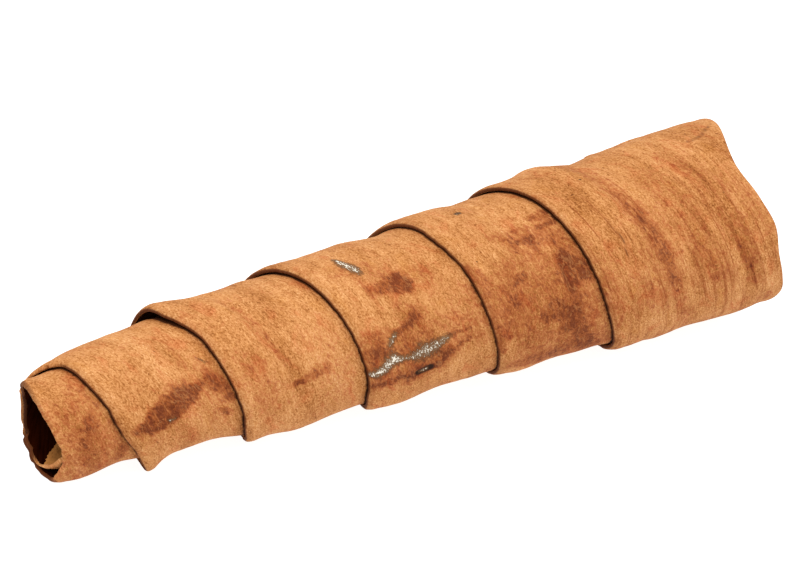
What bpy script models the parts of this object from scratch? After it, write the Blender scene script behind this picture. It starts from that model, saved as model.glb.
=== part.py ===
"""A cinnamon stick: one strip of bark wound round and round into a hollow, tapering roll.

The strip climbs along the roll as it winds, so each turn lies over the end of the turn before
it and its exposed edge shows as a step. A place on the strip has two numbers: how many turns
it has wound round, and how far along the roll it is. Turn 0 crosses the top of the roll, a
quarter turn later the strip passes the front, and it winds towards the wide end at +X.

Distances are in metres. Lists of places are in turns or millimetres along the roll, as named.
"""
from math import atan2, cos, exp, pi, radians, sin

import bmesh
import bpy
from mathutils import Matrix, Vector

MM = 0.001

# the bark
BARK = 0.62 * MM            # thickness of the strip
AIR = 0.24 * MM             # gap left between two turns where they lie over each other
STRIP_WIDTH = 19.8 * MM     # across the strip, measured along the roll
SETTLE = 8.0 * MM           # a turn comes down this far past the edge of the turn under it

# the exposed edge of the strip: turns wound, millimetres from the narrow rim
EDGE = (
    (-2.0, -26.0), (-1.0, -10.6), (-0.1, 1.6), (0.0, 3.8), (0.37, 10.2), (1.0, 18.3), (1.33, 23.5),
    (2.0, 34.2), (2.35, 39.7), (3.0, 51.8), (3.38, 58.0), (3.9, 64.0), (4.0, 66.2), (4.37, 74.0),
    (5.0, 84.0),
)
# outer radius of the bare roll: millimetres from the narrow rim, millimetres
CONE = (
    (0, 6.0), (6, 6.9), (14, 7.4), (25, 8.6), (42, 9.6), (62, 10.6), (78, 11.7), (92, 12.35),
    (100, 12.4),
)
BOW = 0.5 * MM              # the centre line stands this much higher half way along
LENGTH = 100 * MM
# where the knife cut the narrow end and the wide end: part of a turn from the top, millimetres
NARROW_RIM = (
    (-0.37, -0.1), (-0.24, 0.6), (-0.16, 0.3), (-0.07, -0.5), (0.02, -0.9), (0.10, -0.8),
    (0.19, -0.1), (0.30, 0.8), (0.42, 0.3), (0.52, -0.1), (0.63, -0.1),
)
WIDE_RIM = (
    (-0.37, 97.2), (-0.17, 97.4), (-0.04, 96.6), (0.08, 94.3), (0.22, 96.4), (0.27, 96.5),
    (0.35, 98.8), (0.46, 98.4), (0.63, 97.2),
)

# the wide end of the strip, where it broadens until it reaches the knife cut
BROADENS = (3.35, 3.76)     # turns between which the inner edge runs out to the rim
WIDE_END = 4.86             # turns at which the strip ends, behind the top of the roll

# the narrow end of the strip, torn off along a slant and curled into the bore
TORN_TIP = -1.48            # turns at which the slant starts at the rim
TORN_END = -1.74            # turns at which the slant ends inside
TORN_DEPTH = 4.2 * MM       # how far in it ends
TORN_CURVE = 0.6            # under 1, so that the tear starts steep and flattens out
FLAP_EDGE = 9.8 * MM        # inner edge of the curled flap, from the rim
FLAP_NARROWS = (-1.05, -1.35)   # turns over which the strip narrows to that edge
TUCK = (-0.95, -1.25)       # turns over which the strip slips under the turn that covers it
RISE = (-0.25, 0.05)        # turns over which the covering turn lifts clear in its place
CURL = 3.1 * MM             # how far the flap's end stands off the wall
CURL_START = -1.44          # turns at which it leaves the wall
CURL_SPREAD = 0.08          # turns it takes

# where the bark stands off the roll: turns wound, spread in turns, then height, distance from
# the exposed edge and depth along the roll, in millimetres
BULGES = (
    (-0.57, 0.05, 0.6, 6.0, 4.0),   # the corner at the bottom of the narrow rim
    (-0.09, 0.08, 0.5, 10.0, 4.0),  # the swelling at the top of the second turn
    (0.41, 0.05, 0.6, 0.0, 2.2),    # the loose corner of that turn
    (0.45, 0.09, -0.8, 8.0, 5.0),   # the hollow beside that corner
    (0.93, 0.07, 0.9, 1.5, 4.0),    # the rolled lip of the third turn
)

OVAL = 0.30 * MM            # the narrow end is taller than it is wide
OVAL_FADE = 16 * MM         # along the roll

# how the roll lies
FLAT = 0.25 * MM            # the bark is worn flat this deep where it rests
LEVEL_ROUNDS = 3            # leaning moves the lowest points a little, so it is done again

# the mesh
PER_TURN = 44
ROWS = (0, 0.12, 0.24, 0.34, 0.46, 0.62, 0.80, 1)   # parts of the way across the strip
SHARP = radians(40)         # edges that bend more than this are the bark's cut edges

# dry cinnamon bark
BARK_COLOUR = (0.36, 0.125, 0.032, 1)
BARK_ROUGHNESS = 0.75


def through(stations, place):
    """Read the smooth curve that runs through the stations, at one place."""
    inner = stations[1:-1]
    first = sum(place > station[0] for station in inner)
    (x0, y0), (x1, y1) = stations[first], stations[first + 1]
    before = stations[max(first - 1, 0)]
    after = stations[min(first + 2, len(stations) - 1)]
    span = x1 - x0
    slope0 = (y1 - before[1]) / (x1 - before[0]) * span
    slope1 = (after[1] - y0) / (after[0] - x0) * span
    t = (place - x0) / span
    rise = y1 - y0
    return y0 + t * (slope0 + t * (3 * rise - 2 * slope0 - slope1 + t * (slope0 + slope1 - 2 * rise)))


def ease(low, high, value):
    """Go smoothly from 0 at low to 1 at high."""
    t = min(max((value - low) / (high - low), 0), 1)
    return t * t * (3 - 2 * t)


def exposed_edge(turn):
    """Place of the strip's exposed edge along the roll."""
    return through(EDGE, turn) * MM


def knife_cut(rim, turn):
    """Place of one of the two cuts that end the roll."""
    start = rim[0][0]
    return through(rim, (turn - start) % 1 + start) * MM


def left_limit(turn):
    """Where the strip starts along the roll: at its exposed edge, the narrow rim or the tear."""
    cut = knife_cut(NARROW_RIM, turn)
    torn = max((turn - TORN_TIP) / (TORN_END - TORN_TIP), 0) ** TORN_CURVE
    return max(exposed_edge(turn), cut + TORN_DEPTH * torn)


def right_limit(turn):
    """Where the strip ends along the roll: at its covered edge or the knife cut."""
    covered = exposed_edge(turn) + STRIP_WIDTH
    cut = knife_cut(WIDE_RIM, turn)
    edge = covered + (cut - covered) * ease(*BROADENS, turn)
    edge += (FLAP_EDGE - edge) * ease(*FLAP_NARROWS, turn)
    return min(edge, cut)


def radius(turn, along):
    """Distance of the strip's outer face from the centre line."""
    size = through(CONE, along / MM) * MM
    under = right_limit(turn - 1)
    size += (BARK + AIR) * (1 - ease(under, under + SETTLE, along)) * ease(*RISE, turn)
    size -= (BARK + AIR) * ease(*TUCK, turn)
    size -= CURL * (1 - exp(-(max(CURL_START - turn, 0) / CURL_SPREAD) ** 2))
    size += OVAL * cos(4 * pi * turn) * exp(-along / OVAL_FADE)
    inset = along - exposed_edge(turn)
    for middle, spread, height, distance, depth in BULGES:
        round_it = (turn - middle) / spread
        across = (inset - distance * MM) / (depth * MM)
        size += height * MM * exp(-round_it * round_it - across * across)
    return size


def strip_point(turn, along):
    """Place of a point of the strip's outer face."""
    angle = 2 * pi * turn
    size = radius(turn, along)
    centre = BOW * sin(pi * along / LENGTH)
    return Vector((along, -size * sin(angle), centre + size * cos(angle)))


def wind_strip():
    """Make the strip's outer face as a grid and wind it into the roll."""
    steps = round((WIDE_END - TORN_END) * PER_TURN)
    bm = bmesh.new()
    bmesh.ops.create_grid(bm, x_segments=steps, y_segments=len(ROWS) - 1, size=0.5)
    for vert in bm.verts:
        across = ROWS[round((vert.co.y + 0.5) * (len(ROWS) - 1))]
        turn = TORN_END + (vert.co.x + 0.5) * (WIDE_END - TORN_END)
        left = left_limit(turn)
        vert.co = strip_point(turn, left + across * (right_limit(turn) - left))
    bm.normal_update()
    return bm


def level(bm):
    """Lean the roll until the lowest points of its two halves are at one height."""
    narrow = min((vert.co for vert in bm.verts if vert.co.x < LENGTH / 2), key=lambda co: co.z)
    wide = min((vert.co for vert in bm.verts if vert.co.x > LENGTH / 2), key=lambda co: co.z)
    lean = atan2(wide.z - narrow.z, wide.x - narrow.x)
    bmesh.ops.rotate(bm, verts=bm.verts, cent=(0, 0, 0), matrix=Matrix.Rotation(lean, 3, "Y"))


def lay_down(bm):
    """Level the roll, wear it flat where it rests and put the origin under its middle."""
    for _ in range(LEVEL_ROUNDS):
        level(bm)
    low = [min(vert.co[axis] for vert in bm.verts) for axis in range(3)]
    high = [max(vert.co[axis] for vert in bm.verts) for axis in range(3)]
    foot = Vector(((low[0] + high[0]) / 2, (low[1] + high[1]) / 2, low[2] + FLAT))
    bmesh.ops.translate(bm, verts=bm.verts, vec=-foot)
    for vert in bm.verts:
        vert.co.z = max(vert.co.z, 0)


def bark_material():
    """Make the one material: dry cinnamon bark, matt and brown."""
    material = bpy.data.materials.new("cinnamon bark")
    material.use_nodes = True
    shader = material.node_tree.nodes["Principled BSDF"]
    shader.inputs["Base Color"].default_value = BARK_COLOUR
    shader.inputs["Roughness"].default_value = BARK_ROUGHNESS
    shader.inputs["Metallic"].default_value = 0
    return material


def make_stick():
    """Wind the strip, give it the bark's thickness inwards and lay it down."""
    bm = wind_strip()
    bmesh.ops.solidify(bm, geom=bm.faces, thickness=BARK)
    bmesh.ops.recalc_face_normals(bm, faces=bm.faces)
    lay_down(bm)
    mesh = bpy.data.meshes.new("cinnamon_stick")
    bm.to_mesh(mesh)
    bm.free()
    mesh.shade_smooth()
    mesh.set_sharp_from_angle(angle=SHARP)
    mesh.materials.append(bark_material())
    stick = bpy.data.objects.new("cinnamon_stick", mesh)
    bpy.context.scene.collection.objects.link(stick)


for old in list(bpy.data.objects):
    bpy.data.objects.remove(old)
make_stick()
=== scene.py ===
# %% [markdown]
# # A cinnamon stick
#
# A cinnamon stick is the inner bark of a young tree. The grower peels it off as a thin strip,
# rubs the outer skin away and lets it dry, and while it dries it curls up. This one was wound
# round and round at a slant, so it is a hollow roll that gets wider towards one end, and each
# turn lies over the end of the turn before it.
#
# The whole stick is one piece of bark, so it is made here as one mesh. The model that the
# checks run on has plain walls. This piece has the same walls, with rounded lips, swellings,
# pits and crusts in its shape, and with the fibres and stains of real bark in its finish.

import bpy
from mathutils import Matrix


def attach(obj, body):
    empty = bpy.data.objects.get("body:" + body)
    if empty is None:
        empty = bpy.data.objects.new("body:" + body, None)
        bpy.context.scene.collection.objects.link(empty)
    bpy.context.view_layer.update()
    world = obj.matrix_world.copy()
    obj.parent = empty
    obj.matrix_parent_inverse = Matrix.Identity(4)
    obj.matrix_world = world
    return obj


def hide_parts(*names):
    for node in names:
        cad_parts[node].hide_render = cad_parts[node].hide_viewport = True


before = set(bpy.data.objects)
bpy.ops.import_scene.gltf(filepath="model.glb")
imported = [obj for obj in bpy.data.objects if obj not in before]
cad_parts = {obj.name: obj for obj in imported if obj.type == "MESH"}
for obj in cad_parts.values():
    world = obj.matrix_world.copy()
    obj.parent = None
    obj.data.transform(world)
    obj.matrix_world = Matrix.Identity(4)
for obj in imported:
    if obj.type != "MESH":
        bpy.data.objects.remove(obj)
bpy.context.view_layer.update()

# %% Modules
from math import cos, exp, hypot, inf, pi, radians, sin, sqrt
from types import SimpleNamespace

import bmesh
import bpy
import numpy as np
from mathutils import Matrix, Vector, noise

MM = 0.001

# %% [markdown]
# ## A place on the strip
#
# A point of the bark is easy to name with two numbers: how many turns the strip has wound
# round, and how far along the roll it is. Turn 0 crosses the top of the roll and a quarter
# turn later the strip passes the front. From these two numbers a few functions work out the
# place in space. They are the plain model's functions, so both have one shape. What the plain
# model leaves out is added to them further on, and it is never more than a millimetre or so.

# %% Sizes of the bark
BARK = 0.62 * MM            # thickness of the strip
AIR = 0.24 * MM             # gap between two turns where they lie over each other
STRIP_WIDTH = 19.8 * MM     # across the strip, measured along the roll
SETTLE = 8.0 * MM           # a turn comes down this far past the edge of the turn under it
LENGTH = 100 * MM
BOW = 0.5 * MM              # the centre line stands this much higher half way along

# %% How the strip is wound
# the exposed edge of the strip: turns wound, millimetres from the narrow rim
EDGE = (
    (-2.0, -26.0), (-1.0, -10.6), (-0.1, 1.6), (0.0, 3.8), (0.37, 10.2), (1.0, 18.3), (1.33, 23.5),
    (2.0, 34.2), (2.35, 39.7), (3.0, 51.8), (3.38, 58.0), (3.9, 64.0), (4.0, 66.2), (4.37, 74.0),
    (5.0, 84.0),
)
# outer radius of the bare roll: millimetres from the narrow rim, millimetres
CONE = (
    (0, 6.0), (6, 6.9), (14, 7.4), (25, 8.6), (42, 9.6), (62, 10.6), (78, 11.7), (92, 12.35),
    (100, 12.4),
)

# %% Where the knife cut the two ends: part of a turn from the top, millimetres
NARROW_RIM = (
    (-0.37, -0.1), (-0.24, 0.6), (-0.16, 0.3), (-0.07, -0.5), (0.02, -0.9), (0.1, -0.8),
    (0.19, -0.1), (0.3, 0.8), (0.42, 0.3), (0.52, -0.1), (0.63, -0.1),
)
WIDE_RIM = (
    (-0.37, 97.2), (-0.17, 97.5), (-0.04, 97.0), (0.08, 94.2), (0.15, 95.4), (0.2, 96.6),
    (0.25, 96.8), (0.3, 97.8), (0.35, 98.8), (0.46, 98.4), (0.63, 97.2),
)

# %% Sizes of the two ends of the strip
BROADENS = (3.35, 3.76)     # turns between which the inner edge runs out to the wide rim
WIDE_END = 4.86             # turns at which the strip ends, behind the top of the roll
TORN_TIP = -1.66            # turns at which the slanting tear starts at the narrow rim
TORN_END = -1.74            # turns at which the strip starts, at the inner end of the tear
TORN_DEPTH = 4.2 * MM       # how far in from the rim the tear ends
FLAP_EDGE = 9.8 * MM        # inner edge of the curled flap, from the rim
FLAP_NARROWS = (-1.05, -1.35)   # turns over which the strip narrows to that edge
TUCK = (-0.95, -1.25)       # turns over which the strip slips under the turn that covers it
RISE = (-0.25, 0.05)        # turns over which the covering turn lifts clear in its place

# %% Where the bark stands off the roll
# turns wound, spread in turns, then height, distance from the exposed edge and depth along the
# roll, in millimetres
BULGES = (
    (-0.57, 0.05, 0.6, 6.0, 4.0),
    (-0.09, 0.08, 0.5, 10.0, 4.0),
    (0.42, 0.05, 1.2, 0.8, 2.7),
    (0.45, 0.09, -0.8, 8.0, 5.0),
    (0.93, 0.07, 0.9, 1.5, 4.0),
)
OVAL = 0.30 * MM            # the narrow end is taller than it is wide
OVAL_FADE = 16 * MM

# %% Curves through a few known places
def through(stations, place):
    """Read the smooth curve that runs through the stations, at one place."""
    inner = stations[1:-1]
    first = sum(place > station[0] for station in inner)
    (x0, y0), (x1, y1) = stations[first], stations[first + 1]
    before = stations[max(first - 1, 0)]
    after = stations[min(first + 2, len(stations) - 1)]
    span = x1 - x0
    slope0 = (y1 - before[1]) / (x1 - before[0]) * span
    slope1 = (after[1] - y0) / (after[0] - x0) * span
    t = (place - x0) / span
    rise = y1 - y0
    return y0 + t * (slope0 + t * (3 * rise - 2 * slope0 - slope1 + t * (slope0 + slope1 - 2 * rise)))


def ease(low, high, value):
    """Go smoothly from 0 at low to 1 at high."""
    t = min(max((value - low) / (high - low), 0), 1)
    return t * t * (3 - 2 * t)


# %% The limits of the strip, at one turn
def exposed_edge(turn):
    return through(EDGE, turn) * MM


def knife_cut(rim, turn):
    start = rim[0][0]
    return through(rim, (turn - start) % 1 + start) * MM


def left_limit(turn):
    cut = knife_cut(NARROW_RIM, turn)
    torn = max((turn - TORN_TIP) / (TORN_END - TORN_TIP), 0)
    return max(exposed_edge(turn), cut + TORN_DEPTH * torn)


def right_limit(turn):
    covered = exposed_edge(turn) + STRIP_WIDTH
    cut = knife_cut(WIDE_RIM, turn)
    edge = covered + (cut - covered) * ease(*BROADENS, turn)
    edge += (FLAP_EDGE - edge) * ease(*FLAP_NARROWS, turn)
    return min(edge, cut)


# %% [markdown]
# ## A grid that fits the bark
#
# The mesh starts as a flat grid with one column for each step along the strip. The steps are
# even on the bark itself and not in angle, because the roll is twice as thick at one end and
# its texture has to be as fine there. Across the strip the rows go once round the section: out
# over the outer face, round the covered lip, back along the inner face and round the exposed
# lip. So the bark gets its thickness and its rounded edges from one grid.

# %% Columns: even steps along the strip
STEP = 0.36                 # millimetres along the strip
FINE_STEPS = 2000           # the strip's length is added up in steps this many
fine_turns = np.linspace(TORN_END, WIDE_END, FINE_STEPS)
# how far round one turn is, at each of them
girths = np.array([2 * pi * through(CONE, max(exposed_edge(turn) / MM, 0)) for turn in fine_turns])
pieces = (girths[1:] + girths[:-1]) / 2 * np.diff(fine_turns)
wound = np.concatenate(([0], np.cumsum(pieces)))
column_count = round(wound[-1] / STEP) + 1
column_wound = np.linspace(0, wound[-1], column_count)
column_turn = np.interp(column_wound, wound, fine_turns)
print(f"the strip is {wound[-1]:.0f} mm long, in {column_count} columns")

# %% Rows: once round the section of the strip
OUTER_ROWS = 54
INNER_ROWS = 20
CROWDING = 1.15             # above 1, so that the outer rows crowd towards the exposed lip
LIP_ANGLES = (30, 60, 90, 120, 150)
half = BARK / 2             # radius of the rounded lips


def section_rows():
    """Each row: share of the way across, lip radii past the edge, share of the thickness."""
    rows = [((k / (OUTER_ROWS - 1)) ** CROWDING, 0, 0) for k in range(OUTER_ROWS)]
    for degrees in LIP_ANGLES:
        angle = radians(degrees)
        rows.append((1, sin(angle), (1 - cos(angle)) / 2))
    rows += [(1 - k / (INNER_ROWS - 1), 0, 1) for k in range(INNER_ROWS)]
    for degrees in LIP_ANGLES:
        angle = radians(degrees)
        rows.append((0, -sin(angle), (1 + cos(angle)) / 2))
    return rows


section = section_rows()
print(len(section), "rows round the section")

# %% [markdown]
# ## The shape of the wall
#
# The radius of a point is worked out in steps: the taper of the bare roll, a lift where the
# turn lies over another one, and a few places where the bark stands off. Inside the narrow end
# the strip stops in a slanting tear. Its last bit, the flap, stands in from the wall, its edge
# is thin, and a pale ply of bark is left on its inner face. On top of that the whole wall has
# waves and swellings that are read in space, so two turns that lie over each other move
# together and never cut through one another. The outer face alone has the finer relief.

# %% The torn flap inside the narrow end
STAND_OFF = 0.25 * MM       # how far its rim edge stands in from the wall, half way
STANDS_FROM, STANDS_TO = -1.43, -1.70   # turns
# where its top ply is torn away: millimetres from the rim, turns wound
PLY_EDGE = (
    (0, -1.5), (0.5, -1.5), (1.2, -1.47), (2.0, -1.44), (2.85, -1.42), (3.6, -1.405), (8, -1.37),
)
PLY = 0.28 * MM             # thickness of the ply
PLY_SLOPE = 0.030           # turns over which it thins out at the tear
PLY_WANDER = 0.004          # turns to either side
PLY_WANDER_SIZE = 1.2       # millimetres
PLY_ENDS = -1.33            # turns: past this there is no ply
THIN = 0.36 * MM            # the flap's own edge is thinner by this much
THINS_FROM, THINS_TO = -1.41, -1.48     # turns
THIN_WIDTH = 1.6 * MM       # how far from the edge the wall is full again


def flap_stand(turn):
    way = min(max((turn - STANDS_FROM) / (STANDS_TO - STANDS_FROM), 0), 1)
    return STAND_OFF * sin(pi * way) ** 2


def ply_at(turn, along, distance_wound):
    """1 where the pale top ply is left on the inner face of the flap."""
    if turn > PLY_ENDS:
        return 0
    place = Vector((along / MM, distance_wound, 0)) / PLY_WANDER_SIZE
    wander = PLY_WANDER * noise.noise(place)
    tear = through(PLY_EDGE, min(max(along / MM, 0), PLY_EDGE[-1][0])) + wander
    return ease(0, PLY_SLOPE, tear - turn)


# %% The wall
def wall_radius(turn, along, lift_from, edge):
    size = through(CONE, along / MM) * MM
    size += (BARK + AIR) * (1 - ease(lift_from, lift_from + SETTLE, along)) * ease(*RISE, turn)
    size -= (BARK + AIR) * ease(*TUCK, turn)
    size -= flap_stand(turn)
    size += OVAL * cos(4 * pi * turn) * exp(-along / OVAL_FADE)
    for middle, spread, height, distance, depth in BULGES:
        round_it = (turn - middle) / spread
        across = (along - edge - distance * MM) / (depth * MM)
        size += height * MM * exp(-round_it * round_it - across * across)
    return size


# %% [markdown]
# ### The buried margin
#
# Bark that dries curls tighter with every turn, so the hidden margin of a turn springs out
# against the turn that covers it. Without this the air between the turns would show as a bright
# crescent to anyone who looks through the roll. The margin's own radius is compared with the
# inner radius of the turn above, so the two come close and never touch.

# %% The buried margin presses out against the turn that covers it
FLARE = 3.5 * MM            # how wide the margin is that leans out
CLEARANCE = 0.03 * MM       # air left between the two turns there
FLARE_FADES = (3.40, 3.55)  # turns: past them both turns end at the wide rim, side by side


def flared(turn, along, size, right):
    """The radius, with the margin near the right edge brought up to the covering turn."""
    lean = ease(right - FLARE, right, along) * (1 - ease(*FLARE_FADES, turn))
    if lean == 0 or turn < FLAP_NARROWS[1]:
        return size
    over = wall_radius(turn + 1, along, right, exposed_edge(turn + 1)) - BARK - CLEARANCE
    return size + lean * max(over - size, 0)


# %% [markdown]
# ### Waves, swellings and fibres
#
# A dried strip is never even. The broad waves that give this stick its outline are placed one by
# one, each a soft bump or hollow with a known spot. The smaller swellings between them need no
# place of their own, so they come from noise that is read in space. The fibres are a second
# noise, read on the strip and stretched along it, so their ridges follow the winding.

# %% Waves and swellings that all turns share
# where the roll is fuller or slimmer at its top: millimetres along, millimetres
TOP_WAVES = (
    (2.6, -0.36), (10.1, -0.2), (16.5, 0.42), (22.3, -0.34), (29.4, 0.34), (37.9, -0.32),
    (43.9, 0.42), (49.2, -0.25), (57.6, 0.32), (62.0, 0.2), (68.7, -0.14), (72.7, 0.28),
    (77.3, -0.26), (89.2, 0.2), (93.7, 0.18), (99.2, 0.28),
)
# the same low on its front
LOW_WAVES = (
    (3.7, 0.2), (8.8, -0.3), (14.5, -0.38), (28.0, -0.32), (40.4, -0.26), (59.5, -0.36),
    (73.5, -0.26), (80.0, -0.36), (97.5, -0.36),
)
WAVES = ((-0.09, TOP_WAVES), (0.42, LOW_WAVES))     # by part of a turn from the top
WAVE_LENGTH = 2.3           # millimetres
WAVE_SPREAD = 0.10          # turns
SWELL = 0.09                # millimetres up and down
SWELL_SIZE = 6.0            # millimetres from one swelling to the next


def swelling(turn, along, size):
    angle = 2 * pi * turn
    place = Vector((along, size * cos(angle), size * sin(angle)))
    height = SWELL * noise.noise(place / (SWELL_SIZE * MM))
    for side, waves in WAVES:
        round_it = ((turn - side + 0.5) % 1 - 0.5) / WAVE_SPREAD    # the nearest way round
        for middle, most in waves:
            far = (along / MM - middle) / WAVE_LENGTH
            height += most * exp(-far * far - round_it * round_it)
    return height


# %% The fibres' ridges
FIBRE_RIDGE = 0.03          # millimetres up and down
FIBRE_LENGTH = 2.2          # millimetres
FIBRE_WIDTH = 0.8           # millimetres
FIBRE_SLICE = 3.7           # any number: which slice of the noise the ridges are


def fibre_relief(distance_wound, inset):
    place = Vector((distance_wound / FIBRE_LENGTH, inset / FIBRE_WIDTH, FIBRE_SLICE))
    return FIBRE_RIDGE * noise.noise(place)


# %% [markdown]
# ### The lip
#
# The exposed lip is the edge that hands and other sticks rub against. It is a little worn at its
# corner, a little thicker just behind it, and it leans down onto the turn under it. It also
# drifts: a strip that is peeled by hand is not cut along a ruler. The drift is a list of
# places that a smooth curve runs through, and a small noise on top of it makes it ragged.

# %% The worn lip
BEAD = 0.07                 # millimetres: the bark is a little thicker beside its lip
BEAD_PLACE = 1.0            # millimetres from the lip
BEAD_WIDTH = 0.55           # millimetres
WEAR = 0.08                 # millimetres lost at the corner of the lip
WEAR_WIDTH = 0.5            # millimetres
CLOSE = 0.07                # millimetres: the lip leans down onto the turn under it
CLOSE_WIDTH = 1.5           # millimetres


def lip_relief(from_lip):
    """Height of the outer face near its exposed lip, both in millimetres."""
    bead = BEAD * exp(-((from_lip - BEAD_PLACE) / BEAD_WIDTH) ** 2)
    return bead - WEAR * max(1 - from_lip / WEAR_WIDTH, 0) ** 2


# %% The ragged rim
RAG = 0.09                  # millimetres, how far the cut edges wander
RAG_SIZE = 0.9              # millimetres from one wander to the next
# how far the exposed edge wanders from the plain model's: turns wound, millimetres
DRIFT = (
    (-2.0, 0), (-0.3, 0), (-0.04, 0), (0.0, 0.1), (0.1, -0.25), (0.16, -0.22), (0.22, -0.5),
    (0.26, -0.45), (0.3, -0.05), (0.36, 0.35), (0.42, 0.8), (0.54, 0), (0.9, -0.2), (0.98, -0.3),
    (1.0, 0), (1.04, 0.5), (1.08, 0.75), (1.14, 0.6), (1.2, 0.5), (1.28, 0.3), (1.34, -0.1),
    (1.45, 0), (1.9, 0.1), (1.98, 0.35), (2.04, 0.7), (2.16, 1.05), (2.28, 0.8), (2.34, 0.2),
    (2.45, 0.1), (2.9, 0.4), (3.0, 0.35), (3.04, 0.1), (3.12, 0.35), (3.2, 0.22), (3.3, 0.2),
    (3.4, 0.3), (3.9, 0.5), (4.0, 0.55), (4.1, 0.42), (4.2, 0.1), (4.26, -0.1), (4.31, 0.05),
    (4.37, 0.4), (4.5, 0.2), (4.6, 0), (5.0, 0),
)
# nicks in the narrow rim and the tear: turns wound, spread in turns, depth in millimetres
NICKS = (
    (-0.322, 0.014, 0.3), (-0.352, 0.006, 0.3), (-0.405, 0.013, 0.22), (-0.455, 0.007, 0.18),
    (-0.735, 0.01, 0.15), (-0.665, 0.012, 0.18), (-0.6, 0.01, -0.15),
    (-1.345, 0.016, 0.3), (-1.412, 0.009, 0.25),
)


def ragged_edge(turn, distance_wound):
    """How far the exposed edge stands back from the plain model's, in millimetres."""
    back = through(DRIFT, turn) + RAG * noise.noise(Vector((distance_wound / RAG_SIZE, 0, 0)))
    for middle, spread, depth in NICKS:
        back += depth * exp(-((turn - middle) / spread) ** 2)
    return back


# %% [markdown]
# ## Knots, stains and crusts
#
# The bark carries marks of the living tree: a knot where a twig stood, brown stains, silvery
# crusts of lichen, pits and cracks. Each is placed on the strip as a brush stroke: a
# line of points with a half width at each. A point has its turn, its distance from the exposed
# edge and its half width, both in millimetres. A mark is stored on the mesh as a number that
# rises towards the stroke's middle, and the finish turns it into a ragged patch of colour.

# %% Stains on the narrow end, which is redder towards its underside
# a stain has its strength, its softness and the points of its stroke
NARROW_END_STAINS = (
    (0.28, 1.0, ((-0.88, 7.0, 2.4), (-0.76, 8.0, 4.4), (-0.62, 8.0, 5.4))),
    (0.3, 1.0, ((-0.8, 12.0, 3.6), (-0.66, 12.0, 4.5))),
    (0.25, 0.8, ((-0.79, 11.2, 0.9), (-0.74, 10.6, 0.8))),
    (0.25, 1.0, ((-0.93, 13.0, 1.4), (-0.87, 14.0, 1.6))),
    (0.45, 0.8, ((-0.82, 12.4, 0.7), (-0.79, 12.2, 0.7))),
    (0.5, 0.8, ((-0.7, 14.2, 0.9), (-0.66, 13.8, 0.8))),
)

# %% The knot on the second turn, with its tails and the stains round it
KNOT_STAINS = (
    (0.6, 0.5, ((0.25, 1.4, 0.25), (0.232, 2.8, 0.25), (0.212, 5.0, 0.28), (0.192, 8.2, 0.28),
                (0.178, 10.8, 0.25))),
    (0.6, 0.5, ((0.254, 2.6, 0.25), (0.25, 4.6, 0.28), (0.238, 6.6, 0.28), (0.214, 9.0, 0.25),
                (0.186, 10.8, 0.25))),
    (0.85, 0.35, ((0.245, 2.6, 0.9), (0.232, 4.3, 1.35), (0.218, 5.8, 1.5), (0.196, 8.4, 1.3),
                  (0.184, 10.6, 0.55))),
    (0.7, 0.5, ((0.246, 0.9, 0.5), (0.245, 2.6, 0.9))),
    (0.6, 0.5, ((0.184, 10.6, 0.5), (0.17, 12.4, 0.35))),
    (0.45, 0.7, ((0.168, 7.6, 0.6), (0.166, 9.6, 0.7))),
    (0.3, 0.9, ((0.272, 1.8, 1.0), (0.284, 3.2, 1.2))),
    (0.18, 0.8, ((0.26, 6.0, 1.0), (0.32, 7.2, 1.2))),
    (0.26, 0.9, ((0.12, 13.2, 1.3), (0.19, 12.4, 2.0), (0.25, 11.8, 1.8))),
    (0.14, 1.0, ((0.24, 9.6, 2.6), (0.33, 10.0, 3.4))),
    (0.6, 0.7, ((0.165, 12.9, 0.7), (0.19, 12.6, 0.9))),
    (0.8, 0.4, ((0.263, 12.4, 0.45),)),
    (0.6, 0.7, ((0.185, 13.8, 0.7), (0.225, 13.6, 0.8))),
    (0.7, 0.5, ((0.1625, 5.7, 0.22),)),
    (0.55, 0.6, ((0.174, 6.3, 0.3),)),
    (0.3, 0.8, ((0.08, 11.2, 0.7), (0.12, 11.0, 0.6))),
)

# %% Faint stains on the third turn, and painted shade along a fold
FAINT_STAINS_AND_FOLD_SHADE = (
    (0.75, 0.5, ((1.24, 7.6, 0.35), (1.238, 8.3, 0.45))),
    (0.5, 0.8, ((1.236, 8.6, 0.5), (1.228, 10.4, 0.7), (1.224, 12.4, 0.6))),
    (0.45, 0.7, ((1.271, 6.0, 0.45),)),
    (0.26, 1.0, ((1.15, 14.2, 1.8), (1.22, 13.4, 2.2), (1.3, 12.8, 1.8))),
    (0.32, 1.0, ((1.17, 3.6, 1.8), (1.22, 3.8, 2.4), (1.27, 3.4, 1.8))),
    # painted shade, not a stain: this stroke darkens the groove of the fold that runs here
    (0.38, 0.8, ((1.04, 6.8, 0.45), (1.12, 7.2, 0.5), (1.19, 7.8, 0.5))),
)

# %% The oval stain on the fourth turn
OVAL_STAINS = (
    (0.7, 0.45, ((2.104, 9.4, 1.4), (2.102, 10.5, 1.4))),
    (0.45, 0.6, ((2.112, 9.6, 0.9), (2.116, 11.0, 0.8))),
    (0.55, 0.6, ((2.108, 6.0, 0.8), (2.106, 8.2, 1.0))),
    (0.35, 0.9, ((2.095, 11.6, 1.2), (2.095, 14.0, 1.0))),
    (0.32, 1.0, ((2.045, 5.0, 1.5), (2.06, 7.4, 1.7), (2.075, 10.0, 1.5))),
)
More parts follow.
